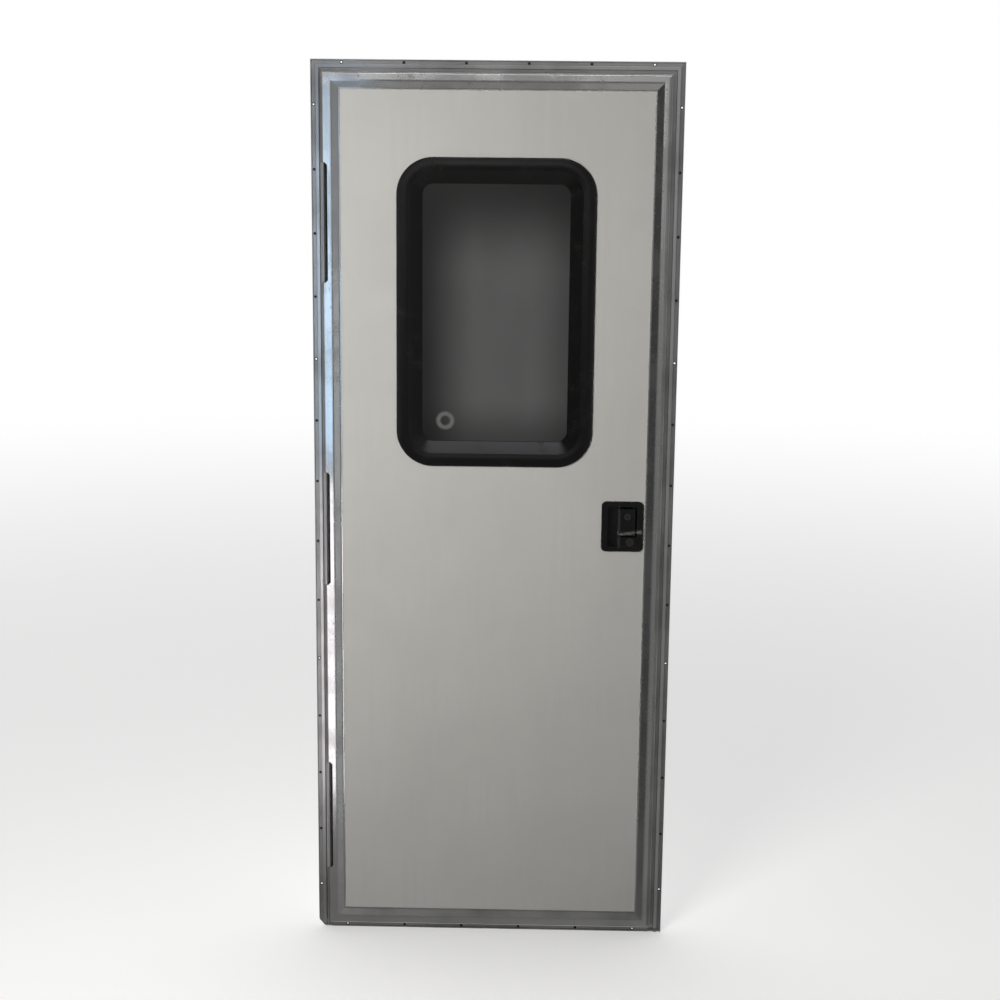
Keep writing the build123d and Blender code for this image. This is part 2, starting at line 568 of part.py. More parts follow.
def lock_inside_leaf():
    """Lock case out to the leaf's edge, its bolts drawn back level with that edge, and the edge plate."""
    low, high = LOCK_MIDDLE - LOCK_BODY_HEIGHT / 2, LOCK_MIDDLE + LOCK_BODY_HEIGHT / 2
    case = lock_body(LOCK_BODY_BACK_Y, LEAF_BACK_Y)
    case += block(LOCK_X, PANEL_RIGHT_X, LOCK_BODY_BACK_Y, CORE_BACK_Y, low, high)
    pieces = {
        "lock_case": case - bolt_ways(BOLT_START_X, PANEL_RIGHT_X, BOLT_CLEARANCE),
        "edge_plate": edge_plate_blank(0) - bolt_ways(PANEL_RIGHT_X, WEB_RIGHT_X, BOLT_CLEARANCE),
    }
    for name, (height, tall) in BOLTS.items():
        middle = LOCK_MIDDLE + height
        bolt = block(
            BOLT_START_X,
            WEB_RIGHT_X,
            BOLT_Y - BOLT_DEPTH / 2,
            BOLT_Y + BOLT_DEPTH / 2,
            middle - tall / 2,
            middle + tall / 2,
        )
        pieces[name] = bolt
    nose = pieces["latch_bolt"].edges().filter_by(Axis.Z).group_by(Axis.X)[-1].sort_by(Axis.Y)[-1]
    pieces["latch_bolt"] = chamfer(nose, BOLT_BEVEL)
    return pieces


def inside_hardware():
    """Plate on the inner skin with a lever and a thumb turn."""
    plate_back = LEAF_BACK_Y + INSIDE_PLATE_THICKNESS
    plate = lock_slab(LOCK_WIDTH, LOCK_HEIGHT, LOCK_RADIUS, LEAF_BACK_Y, plate_back)
    plate = chamfer(plate.edges().group_by(Axis.Y)[-1], INSIDE_PLATE_EDGE)

    lever_x, lever_z = LOCK_X + LEVER_X, LOCK_MIDDLE + LEVER_Z
    boss_back = plate_back + LEVER_BOSS_LENGTH
    lever = slab(Circle(LEVER_BOSS_DIAMETER / 2), lever_x, lever_z, plate_back, boss_back)
    root, tip = Circle(LEVER_ROOT_DIAMETER / 2), Pos(-LEVER_LENGTH, 0) * Circle(LEVER_TIP_DIAMETER / 2)
    bar = make_face(make_hull(root.edges() + tip.edges()))
    lever += slab(bar, lever_x, lever_z, boss_back - LEVER_THICKNESS, boss_back)

    turn_x, turn_z = LOCK_X + TURN_X, LOCK_MIDDLE + TURN_Z
    turn_back = plate_back + TURN_BOSS_LENGTH
    turn = slab(Circle(TURN_BOSS_DIAMETER / 2), turn_x, turn_z, plate_back, turn_back)
    wing = Rectangle(TURN_WING_THICKNESS, TURN_WING_LENGTH)
    wing = slab(wing, turn_x, turn_z, turn_back, turn_back + TURN_WING_HEIGHT)
    turn += chamfer(wing.edges().group_by(Axis.Y)[-1], TURN_WING_CHAMFER)
    return {"inside_plate": plate, "inside_lever": lever, "thumb_turn": turn}


pieces = {
    **frame_members(),
    **frame_hinge(),
    **seals(),
    "strike_plate": strike_plate(),
    **leaf_rails(),
    **panel(),
    **window(),
    **latch_outside(),
    **lock_inside_leaf(),
    **inside_hardware(),
}

os.makedirs("parts", exist_ok=True)
origin_height = SILL_FACE_U / 2
for name, piece in pieces.items():
    export_step(Pos(0, 0, -origin_height) * piece, f"parts/{name}.step")
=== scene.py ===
"""Looks of a caravan entry door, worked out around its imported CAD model. Metres, in the CAD frame."""

from functools import partial

import bpy
import numpy as np
from mathutils import Euler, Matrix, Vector


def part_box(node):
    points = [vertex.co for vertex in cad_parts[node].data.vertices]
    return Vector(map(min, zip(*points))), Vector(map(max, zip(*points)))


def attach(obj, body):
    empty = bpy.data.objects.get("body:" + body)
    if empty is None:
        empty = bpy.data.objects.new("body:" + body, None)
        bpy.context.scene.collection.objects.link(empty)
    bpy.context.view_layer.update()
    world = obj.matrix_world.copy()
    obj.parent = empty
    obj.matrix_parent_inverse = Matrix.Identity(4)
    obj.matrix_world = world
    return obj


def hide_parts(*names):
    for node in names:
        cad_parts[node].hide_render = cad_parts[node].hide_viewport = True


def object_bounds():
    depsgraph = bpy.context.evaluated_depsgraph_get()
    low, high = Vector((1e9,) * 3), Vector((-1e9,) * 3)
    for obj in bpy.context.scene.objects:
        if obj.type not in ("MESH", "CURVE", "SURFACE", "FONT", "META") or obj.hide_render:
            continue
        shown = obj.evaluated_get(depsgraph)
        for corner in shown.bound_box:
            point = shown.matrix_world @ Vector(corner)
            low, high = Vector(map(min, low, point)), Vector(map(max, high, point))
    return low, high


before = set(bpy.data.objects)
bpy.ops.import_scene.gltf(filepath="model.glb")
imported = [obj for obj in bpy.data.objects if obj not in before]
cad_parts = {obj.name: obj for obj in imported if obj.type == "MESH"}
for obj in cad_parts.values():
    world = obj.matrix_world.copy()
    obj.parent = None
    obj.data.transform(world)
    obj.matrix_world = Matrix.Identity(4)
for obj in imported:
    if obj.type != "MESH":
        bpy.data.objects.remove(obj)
CAD_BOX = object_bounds()

bl_info = {
    "name": "Caravan entry door",
    "version": (1, 0, 0),
    "blender": (4, 5, 0),
    "location": "View3D > Sidebar > Door",
    "description": "Finishes, mouldings and fasteners of a caravan entry door",
    "category": "Object",
}

MM = 0.001
SHARP_CORNER = np.radians(32.0)
SHADING_SAMPLES = 4

# Places on the CAD model
SKIN_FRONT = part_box("outer_skin")[0].y
FLANGE_FRONT = -1.8 * MM
CREST_WIDTH = 17.6 * MM

# Rows of screw holes in the flange, of which the CAD model has the open ones
HOLE_INSET = 6.0 * MM
HOLE_PITCH_UP = 130.0 * MM
HOLE_PITCH_ACROSS = 127.0 * MM
FIRST_SIDE_HOLE = 100.0 * MM
SIDE_HOLES = 14
OPEN_SIDE_HOLES = (0, 4, 9, 13)
END_HOLES = 6

# Painted shade on the flange, where shadow falls: how far in from the frame's edge it starts, is full,
# begins to fall and ends, in the screw channel and in the gap next to the leaf, and how much of it each
# side has in the two
SCREW_CHANNEL = (2.0 * MM, 4.0 * MM, 8.0 * MM, 10.0 * MM)
LEAF_GAP = (17.0 * MM, 18.5 * MM, 27.0 * MM, 30.0 * MM)
FLANGE_PAINTED_SHADE = {
    "hinge_jamb": (0.45, 0.9),
    "latch_jamb": (0.75, 0.35),
    "header": (0.2, 0.4),
    "sill": (0.2, 0.4),
}

# Aluminium: how flat its pattern is along the run, the roughness that weather adds, the heights over which
# splashes fade out, and how much painted shade darkens the barrel, the latch side's shoulder and the
# bottom slope
DRAWN_OUT = 0.004
WEATHERED = 0.14
SPLASHED = (-20.0 * MM, 450.0 * MM)
BARREL_PAINTED_SHADE = 0.9
SHOULDER_PAINTED_SHADE = 0.7
SLOPE_PAINTED_SHADE = 0.7

# Painted highlights on the lock, from the paddle's lower left corner, for light caught by its edges: a
# rising pale line and a pale upright line
HIGHLIGHT_RISE = 0.14
HIGHLIGHT_LINE_WIDTH = 2.3 * MM
HIGHLIGHT_EDGE_WIDTH = 1.5 * MM
HIGHLIGHT_EDGE_ENDS = (-30.0 * MM, -24.0 * MM, 58.0 * MM, 66.0 * MM)

# Painted shade on the glass, its tint lighter in the middle and darker towards the frame: the share of the
# lightening that is left at each edge, and how far in it begins to grow and is whole
GLASS_SHADE_EDGES = {
    "left": (0.15, 5.0 * MM, 130.0 * MM),
    "top": (0.05, 5.0 * MM, 205.0 * MM),
    "right": (0.55, 0.0, 90.0 * MM),
    "bottom": (0.45, 0.0, 110.0 * MM),
}

# The camera's place, its turn from level and straight ahead in degrees, its sensor in mm and its far limit
CAMERA_PLACE = (0.0770, -3.4475, 1.6162)
CAMERA_TURN = (-10.707, -0.576, 1.166)
SENSOR_WIDTH = 36.0
FAR_LIMIT = 200.0

# Lamps: place, width and height, and colour; the strips face the line of the hinge stile
LAMP_TARGET = (0.0, 0.0, 1.1)
KEY_LAMP = ((-0.8, -1.9, 1.52), (0.9, 0.9), (1.0, 0.985, 0.95))
SKY_LAMP = ((0.0, -5.6, 6.7), (6.0, 2.0), (0.96, 0.95, 1.0))
STRIP_TARGET_X = -0.385
STRIP_SPREAD = np.radians(90.0)
STRIP_LAMPS = {
    "upper_strip": ((-0.385, -0.42, 1.41), (0.10, 0.86), (0.55, 0.76, 1.0)),
    "lower_strip": ((-0.385, -0.42, 0.54), (0.10, 0.78), (1.0, 0.96, 1.0)),
    "right_strip": ((0.63, -1.30, 0.70), (0.24, 2.60), (0.93, 0.97, 1.0)),
}

# The floor's half width, and the distances over which it runs out into the backdrop
FLOOR_REACH = 40.0
FLOOR_FADE = (0.5, 9.0)

# Pale patches of the room that the door reflects: bearing and its spread, rise and its spread, in radians,
# and colour; then the bearings over which the side walls begin, their rise and its spread, and colour
ROOM_PATCHES = {
    "band": ((-0.06, 0.08), (0.12, 0.07), (1.8, 1.77, 1.74, 1.0)),
    "ground": ((0.0, 0.40), (-0.66, 0.13), (0.44, 0.43, 0.41, 1.0)),
    "right": ((0.60, 0.15), (-0.05, 0.45), (0.30, 0.30, 0.30, 1.0)),
}
ROOM_WALLS = ((0.82, 1.18), (-0.05, 0.45), (0.54, 0.53, 0.54, 1.0))


# Colours


def grey(level):
    """A neutral colour."""
    return (level, level, level, 1.0)


def shade(colour, factor):
    """A colour made lighter or darker by a factor."""
    return tuple(min(1.0, channel * factor) for channel in colour[:3]) + (1.0,)


GRIME_AND_SHADE_COLOUR = (0.045, 0.042, 0.038, 1.0)
PAINTED_HIGHLIGHT_GREY = (0.30, 0.29, 0.28, 1.0)
HOLE_SHADOW = (0.012, 0.012, 0.013, 1.0)
HOLE_SWARF = (0.10, 0.10, 0.11, 1.0)
WHITE = grey(1.0)
BLACK = grey(0.0)


# Shader expressions


def pick(sockets, key):
    """A socket by number, by identifier, or by name with its spaces written as underscores."""
    if isinstance(key, int):
        return sockets[key]
    for socket in sockets:
        if key in (socket.identifier, socket.name.replace(" ", "_")):
            return socket
    raise KeyError(key)


class Value:
    """An output socket of a shader tree. Arithmetic on it adds Math nodes to that tree."""

    def __init__(self, shading, socket):
        self.shading = shading
        self.socket = socket

    def __add__(self, other):
        return self.shading.math("ADD", self, other)

    def __sub__(self, other):
        return self.shading.math("SUBTRACT", self, other)

    def __rsub__(self, other):
        return self.shading.math("SUBTRACT", other, self)

    def __mul__(self, other):
        return self.shading.math("MULTIPLY", self, other)

    def __truediv__(self, other):
        return self.shading.math("DIVIDE", self, other)

    def __pow__(self, other):
        return self.shading.math("POWER", self, other)

    __radd__ = __add__
    __rmul__ = __mul__


class Shading:
    """A shader tree whose nodes all come from add(); place is the coordinate that its patterns follow."""

    def __init__(self, tree, coordinate):
        self.tree = tree
        self.tree.nodes.clear()
        self.place = self.add("ShaderNodeTexCoord", {}, coordinate)

    def add(self, kind, settings, out=0, **sockets):
        """Adds a node: its settings first, then each named socket's value or link; returns one output."""
        node = self.tree.nodes.new(kind)
        for key, value in settings.items():
            setattr(node, key, value)
        for key, value in sockets.items():
            socket = pick(node.inputs, key)
            if isinstance(value, Value):
                self.tree.links.new(value.socket, socket)
            else:
                socket.default_value = value
        return Value(self, pick(node.outputs, out)) if len(node.outputs) else None

    def math(self, operation, first, second=0.0):
        """One Math node."""
        return self.add("ShaderNodeMath", {"operation": operation}, Value=first, Value_001=second)

    def axis(self, name):
        """One component of the place."""
        return self.add("ShaderNodeSeparateXYZ", {}, name, Vector=self.place)

    def noise(self, scale, stretch=(1.0, 1.0, 1.0), detail=4.0, roughness=0.55, shift=0.0):
        """Fractal noise from 0 to 1: features 1 / scale metres wide, drawn out where stretch is small."""
        moved = (shift, shift, shift)
        spot = self.add("ShaderNodeMapping", {}, Vector=self.place, Location=moved, Scale=stretch)
        sockets = {"Vector": spot, "Scale": scale, "Detail": detail, "Roughness": roughness}
        return self.add("ShaderNodeTexNoise", {}, "Fac", **sockets)

    def ramp(self, value, low, high):
        """0 below low, 1 above high and a smooth rise between."""
        smooth = {"interpolation_type": "SMOOTHSTEP"}
        return self.add("ShaderNodeMapRange", smooth, Value=value, From_Min=low, From_Max=high)

    def plateau(self, value, start, full, fall, end):
        """0 up to start, 1 from full to fall and 0 from end on, with a smooth rise and fall between."""
        return self.ramp(value, start, full) * (1.0 - self.ramp(value, fall, end))

    def hump(self, value, middle, spread):
        """A bell curve: 1 at the middle, falling off over the spread on either side."""
        off = (value - middle) / spread
        return self.math("EXPONENT", off * off * -0.5)

    def mix(self, first, second, amount):
        """A colour between two colours."""
        sockets = {"Factor_Float": amount, "A_Color": first, "B_Color": second}
        return self.add("ShaderNodeMix", {"data_type": "RGBA"}, "Result_Color", **sockets)

    def crevice(self, reach):
        """1 deep in a crevice that is about reach wide, 0 on an open face."""
        samples = {"samples": SHADING_SAMPLES}
        open_sky = self.add("ShaderNodeAmbientOcclusion", samples, "AO", Distance=reach)
        return 1.0 - self.ramp(open_sky, 0.25, 0.85)


class Finish(Shading):
    """One procedural material."""

    def __init__(self, name):
        self.material = bpy.data.materials.new(name)
        self.material.use_nodes = True
        super().__init__(self.material.node_tree, "Object")

    def surface(self, colour, roughness, height=None, depth=0.0, rounding=0.0, **sockets):
        """A Principled shader, bumped where a height is given, and with edges shaded round by rounding."""
        normal = {}
        if rounding:
            samples = {"samples": SHADING_SAMPLES}
            normal["Normal"] = self.add("ShaderNodeBevel", samples, Radius=rounding)
        if height is not None:
            normal["Normal"] = self.add("ShaderNodeBump", {}, Height=height, Distance=depth, **normal)
        sockets |= {"Base_Color": colour, "Roughness": roughness, **normal}
        return self.add("ShaderNodeBsdfPrincipled", {}, "BSDF", **sockets)

    def done(self, shader):
        """Ends the tree with its output; returns the material."""
        self.add("ShaderNodeOutputMaterial", {}, Surface=shader)
        return self.material


# Surfaces


def add_piece(name, points, faces, finish, body, slot):
    """A mesh object from points and lists of faces, turned outward and smooth but for its sharp corners,
    riding on a CAD body."""
    fans = [part[:, [0, k, k + 1]] for part in faces for k in range(1, part.shape[1] - 1)]
    corners = np.concatenate(fans)
    a, b, c = (points[corners[:, k]] for k in range(3))
    if np.einsum("ij,ij->", a, np.cross(b, c)) < 0:
        faces = [part[:, ::-1] for part in faces]
    mesh = bpy.data.meshes.new(name)
    mesh.from_pydata(points.tolist(), [], sum((part.tolist() for part in faces), []))
    mesh.shade_smooth()
    mesh.set_sharp_from_angle(angle=SHARP_CORNER)
    mesh.materials.append(finish)
    piece = bpy.data.objects.new(name, mesh)
    bpy.context.scene.collection.objects.link(piece)
    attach(piece, body)
    return piece


def grid_faces(rows, columns, close_rows):
    """Quads between neighbouring points of a rows by columns grid whose columns close on themselves."""
    row = np.arange(rows if close_rows else rows - 1)[:, None]
    column = np.arange(columns)[None, :]
    next_row, next_column = (row + 1) % rows, (column + 1) % columns
    quads = [row * columns + column, next_row * columns + column]
    quads += [next_row * columns + next_column, row * columns + next_column]
    return np.stack(np.broadcast_arrays(*quads), axis=-1).reshape(-1, 4)


def arc(centre, radius, start, end, steps=8):
    """Points of a circular arc between two angles in degrees."""
    turn = np.radians(np.linspace(start, end, steps))
    return np.stack([centre[0] + radius * np.cos(turn), centre[1] + radius * np.sin(turn)], axis=-1)


def rounded_outline(width, height, radius, steps=24):
    """A rounded rectangle as points and outward normals, each corner a quarter circle about its centre."""
    turn = np.linspace(0, np.pi / 2, steps)[None, :] + np.arange(4)[:, None] * np.pi / 2
    normals = np.stack([np.cos(turn), np.sin(turn)], axis=-1)
    signs = np.array([[1, 1], [-1, 1], [-1, -1], [1, -1]])[:, None, :]
    centres = signs * np.array([width / 2 - radius, height / 2 - radius])
    return (centres + radius * normals).reshape(-1, 2), normals.reshape(-1, 2)


def carried_round(outline, normals, profile, middle):
    """A closed profile of (inset, depth) carried round an outline: each point lies its inset along the
    outline's inward normal, at its own depth."""
    flat = outline[:, None, :] - normals[:, None, :] * profile[None, :, :1]
    depth = np.broadcast_to(profile[None, :, 1:], flat.shape[:2] + (1,))
    points = np.concatenate([flat[..., :1] + middle[0], depth, flat[..., 1:] + middle[1]], axis=-1)
    return points.reshape(-1, 3), [grid_faces(len(outline), len(profile), True)]


def copied(points, faces, centres, outward):
    """A small piece whose own axis is Z, copied to each centre with that axis along outward."""
    out = np.asarray(outward, float)
    side = np.cross([0.0, 0.0, 1.0], out)
    turned = points @ np.stack([side, np.cross(out, side), out])
    centres = np.asarray(centres, float)
    step = np.arange(len(centres))[:, None, None] * len(points)
    copies = (centres[:, None, :] + turned[None, :, :]).reshape(-1, 3)
    return copies, [(part[None] + step).reshape(-1, part.shape[1]) for part in faces]


def pan_head(radius, height, fall=0.7, sink=0.5, arm_half=11.0, arm_reach=0.55, hub_reach=0.15):
    """A pan screw head: over a polar grid the height falls with the fourth power of the radius, and four
    wedge-shaped arms, arm_half degrees to either side, and the hub between them are sunk for the driver;
    flat below, both poles closed."""
    arm = np.array([-13.0, -10.0, 10.0, 13.0, 28.0, 45.0, 62.0])
    turn = np.radians((np.arange(4)[:, None] * 90 + arm[None, :]).reshape(1, -1))
    ring = np.array([0.14, 0.17, 0.34, 0.52, 0.57, 0.72, 0.86, 0.96, 1.0, 1.0])[:, None]
    rise = 1.0 - fall * ring**4 + 0 * turn
    off_arm = abs((np.degrees(turn) + 45) % 90 - 45)
    sunk = (off_arm < arm_half) & (ring < arm_reach) | (ring < hub_reach)
    rise = np.where(sunk, rise - sink, rise)
    rise[-1] = 0.0
    head = np.stack([ring * np.cos(turn) * radius, ring * np.sin(turn) * radius, rise * height], axis=-1)
    poles = [[0, 0, (1.0 - sink) * height], [0, 0, 0]]
    points = np.concatenate([head.reshape(-1, 3), poles])
    count = turn.size
    spoke = np.arange(count)
    following = (spoke + 1) % count
    top_pole = head.shape[0] * count
    rim = top_pole - count
    top = np.stack([following, spoke, np.full(count, top_pole)], axis=-1)
    bottom = np.stack([spoke + rim, following + rim, np.full(count, top_pole + 1)], axis=-1)
    return points, [grid_faces(len(ring), count, False), top, bottom]


def spun(profile, steps):
    """A profile of (radius, height) spun about Z: the points of a grid whose rows follow the profile."""
    turn = np.linspace(0, 2 * np.pi, steps, endpoint=False)[None, :]
    r, z = np.asarray(profile, float).T[:, :, None]
    return np.stack(np.broadcast_arrays(r * np.cos(turn), r * np.sin(turn), z), axis=-1).reshape(-1, 3)


def hole_mouth(radius, burr, steps=20):
    """A drilled hole's mouth: a profile spun about Z, dished in the middle, with a raised burr at its rim
    and both ends closed."""
    profile = np.array([[0.6, 0.15], [0.92, 0.2], [1.02, 1.0], [1.16, 0.8], [1.26, 0.0]]) * [radius, burr]
    first = np.arange(steps)[None, :]
    last = first + (len(profile) - 1) * steps
    return spun(profile, steps), [grid_faces(len(profile), steps, False), first[:, ::-1], last]


def hole_burr(radius, burr, steps=20):
    """The raised burr round an open hole: a closed profile spun about Z."""
    profile = np.array([[0.82, 0.0], [0.86, 1.0], [1.2, 0.8], [1.5, 0.0]]) * [radius, burr]
    return spun(profile, steps), [grid_faces(len(profile), steps, True)]


# Sizes and colours that a user may change


def colour_property(name, description, default):
    """A colour with alpha."""
    return bpy.props.FloatVectorProperty(
        name=name, description=description, subtype="COLOR", size=4, min=0.0, max=1.0, default=default
    )


def length_property(name, description, default):
    """A length in metres."""
    return bpy.props.FloatProperty(
        name=name, description=description, subtype="DISTANCE", unit="LENGTH", min=0.0, default=default
    )


def power_property(name, description, default):
    """A lamp's power in watts."""
    return bpy.props.FloatProperty(
        name=name, description=description, subtype="POWER", unit="POWER", min=0.0, default=default
    )


class DoorFinishes(bpy.types.PropertyGroup):
    """Base colours of the door's materials"""

    aluminium: colour_property("Aluminium", "Mill-finish extrusions", (0.63, 0.63, 0.625, 1.0))
    outer_skin: colour_property("Outer skin", "Off-white sheet outside", (0.73, 0.728, 0.705, 1.0))
    inner_skin: colour_property("Inner skin", "Off-white sheet inside", (0.70, 0.69, 0.66, 1.0))
    window_plastic: colour_property("Window plastic", "Window mouldings", (0.006, 0.0058, 0.0058, 1.0))
    lock_plastic: colour_property("Lock plastic", "Black lock mouldings", (0.006, 0.006, 0.006, 1.0))
    glass: colour_property("Glass", "Tint of the window", (0.128, 0.128, 0.127, 1.0))
    rubber: colour_property("Rubber", "Bulb seals", (0.025, 0.025, 0.026, 1.0))
    steel: colour_property("Steel", "Plated lock parts and screws", (0.52, 0.52, 0.50, 1.0))
    foam: colour_property("Foam", "Core of the leaf", (0.78, 0.74, 0.62, 1.0))


class DoorSizes(bpy.types.PropertyGroup):
    """Sizes of the pieces that the finishes add"""

    window_radius: length_property("Window corner", "Corner radius of the window's outline", 76.0 * MM)
    window_rim: length_property("Window rim", "Width of the flat rim outside", 27.0 * MM)
    window_surround: length_property("Window surround", "Outline to visible glass", 53.0 * MM)
    window_land: length_property("Window land", "Upright step next to the glass", 2.0 * MM)
    window_hub: length_property("Window hub", "Outline to the part that sits in the panel", 25.0 * MM)
    window_edge: length_property("Window edge", "Rounding of the rim's outer edge", 4.0 * MM)
    window_lip: length_property("Window lip", "Rounding where the rim turns into the bevel", 6.0 * MM)
    window_crown: length_property("Window crown", "Rise of the rim's middle", 0.7 * MM)
    ring_flare: length_property("Ring flare", "Width of the inner ring's slope", 19.0 * MM)
    ring_edge: length_property("Ring edge", "Rounding of the inner ring", 2.5 * MM)
    ring_screw_inset: length_property("Ring screws", "Ring's edge to its screws", 15.0 * MM)
    ring_screw_pitch: length_property("Ring screw pitch", "From one screw to the next", 120.0 * MM)
    plate_screw_inset: length_property("Plate screws", "A plate's edge to its screws", 9.0 * MM)
    head_radius: length_property("Screw head radius", "Pan and flat heads", 3.6 * MM)
    head_height: length_property("Pan head height", "Screws of the ring and the inside plate", 2.0 * MM)
    flat_height: length_property("Flat head height", "Screws of the strike and the edge plate", 0.8 * MM)
    hole_radius: length_property("Hole radius", "Screw holes in the flange", 2.4 * MM)
    burr_height: length_property("Burr height", "Raised rim of a screw hole", 0.4 * MM)
    mark_radius: length_property("Glass mark radius", "Etched ring in the corner of the glass", 21.0 * MM)
    mark_right: length_property("Glass mark place", "Left of the glass to the ring's middle", 58.9 * MM)
    mark_up: length_property("Glass mark height", "Bottom of the glass to the ring's middle", 52.8 * MM)


class DoorStage(bpy.types.PropertyGroup):
    """Camera and light"""

    lens: bpy.props.FloatProperty(
        name="Lens",
        description="Focal length of the camera",
        subtype="DISTANCE_CAMERA",
        unit="CAMERA",
        min=1.0,
        default=59.4,
    )
    key_power: power_property("Key light", "Soft light at the left, unseen in reflections", 29.5)
    sky_power: power_property("Skylight", "Light high up that shows in reflections only", 100.0)
    upper_strip_power: power_property("Upper strip", "Cool light that shows in reflections only", 0.135)
    lower_strip_power: power_property("Lower strip", "Light that shows in reflections only", 0.190)
    right_strip_power: power_property("Right strip", "Light that shows in reflections only", 0.23)
    floor: colour_property("Floor", "Pale studio floor", (0.80, 0.80, 0.80, 1.0))


# Finishes


def flange_painted_shade(finish, in_channel, in_gap):
    """Painted shade on the front of the frame, by the distance inward from its outer edge: so much
    darkening in the screw channel, and so much in the shadowed gap next to the leaf."""
    low, high = CAD_BOX
    x, z = finish.axis("X"), finish.axis("Z")
    sideways = finish.math("MINIMUM", x - low.x, high.x - x)
    upright = finish.math("MINIMUM", z - low.z, high.z - z)
    inward = finish.math("MINIMUM", sideways, upright)
    painted_shade = in_channel * finish.plateau(inward, *SCREW_CHANNEL) + in_gap * finish.plateau(inward, *LEAF_GAP)
    behind = finish.ramp(finish.axis("Y"), FLANGE_FRONT + 0.3 * MM, FLANGE_FRONT + 1.3 * MM)
    return painted_shade * (1.0 - behind)


def hinge_barrel_painted_shade(finish):
    """Painted shade on the leaf's barrel, up to just past the pin, where the barrel turns away into the
    dark gap.
    """
    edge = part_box("hinge_pin")[1].x
    past_pin = finish.ramp(finish.axis("X"), edge - 1.5 * MM, edge + 0.5 * MM)
    return BARREL_PAINTED_SHADE * (1.0 - past_pin)


def shoulder_painted_shade(finish):
    """Painted shade on the latch stile's outer shoulder, darkening the reflection along its rounding."""
    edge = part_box("latch_stile")[1].x
    return SHOULDER_PAINTED_SHADE * finish.ramp(finish.axis("X"), edge - 10.0 * MM, edge - 7.0 * MM)


def bottom_slope_painted_shade(finish):
    """Painted shade on the bottom rail's slope, above its crest, making it darker."""
    crest_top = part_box("bottom_rail")[0].z + CREST_WIDTH
    return SLOPE_PAINTED_SHADE * finish.ramp(finish.axis("Z"), crest_top - 1.0 * MM, crest_top + 1.0 * MM)


def aluminium_finish(name, colour, run, dulled=0.0, painted_shade=None):
    """Mill-finish extrusion: fine lines drawn out along its run, cloudy oxide, dull spots, grime low down,
    and darkening in the corners that is partly grime and partly painted shade; dulled is the roughness
    that weather has added all over, and the last argument a function that gives more painted shade."""
    finish = Finish(name)
    along = {"X": (DRAWN_OUT, 1.0, 1.0), "Z": (1.0, 1.0, DRAWN_OUT)}[run]
    fine = finish.noise(1400.0, along, detail=2.0)
    broad = finish.noise(190.0, along, detail=3.0, shift=3.1)
    cloud = finish.noise(9.0, detail=6.0, shift=7.7)
    spots = finish.ramp(finish.noise(85.0, detail=6.0, roughness=0.7, shift=1.3), 0.60, 0.72)
    low = 1.0 - finish.ramp(finish.axis("Z"), *SPLASHED)
    dull = finish.ramp(cloud, 0.42, 0.68)
    # Darkening where the surface is shut in by occlusion: partly grime, partly painted shade
    grime_and_painted_shade = finish.crevice(9.0 * MM) * (0.45 + 0.55 * finish.ramp(broad, 0.3, 0.7))
    if painted_shade:
        # Extra painted shade from the function given, darkening where shadow falls
        grime_and_painted_shade = finish.math("MAXIMUM", grime_and_painted_shade, painted_shade(finish) * (0.65 + 0.6 * cloud))
    base = finish.mix(colour, shade(colour, 0.72), dull * 0.5 + low * 0.35)
    base = finish.mix(base, shade(colour, 0.42), spots * 0.35)
    # Grime and painted shade turn the base towards one dark colour
    base = finish.mix(base, GRIME_AND_SHADE_COLOUR, grime_and_painted_shade * 0.75)
    rough = 0.19 + dulled + 0.08 * fine + 0.10 * dull + 0.15 * spots + 0.08 * low + 0.25 * grime_and_painted_shade
    lines = fine * 0.5 + broad
    metal = 1.0 - grime_and_painted_shade * 0.6
    return finish.done(finish.surface(base, rough, lines, 0.1 * MM, rounding=0.4 * MM, Metallic=metal))


def skin_finish(name, colour):
    """Smooth sheet: faint mottling, upright roller marks, a few specks, and darkening where its edges are
    shut in, partly grime and partly painted shade.
    """
    finish = Finish(name)
    mottle = finish.noise(5.0, detail=5.0)
    roller = finish.noise(60.0, (1.0, 1.0, 0.03), detail=3.0, shift=2.2)
    specks = finish.ramp(finish.noise(700.0, detail=2.0, shift=5.0), 0.74, 0.80)
    ripple = finish.noise(14.0, detail=2.0, shift=9.0)
    # Occlusion mask: darkening by the frame and window, partly grime, partly painted shade
    grime_and_painted_shade = finish.crevice(12.0 * MM)
    base = finish.mix(colour, shade(colour, 0.94), finish.ramp(mottle, 0.35, 0.7))
    base = finish.mix(base, shade(colour, 0.97), finish.ramp(roller, 0.4, 0.7))
    base = finish.mix(base, shade(colour, 0.6), specks * 0.25 + grime_and_painted_shade * 0.35)
    rough = 0.38 + 0.14 * mottle
    waves = ripple + roller * 0.06
    return finish.done(finish.surface(base, rough, waves, 0.5 * MM, Specular_IOR_Level=0.3))


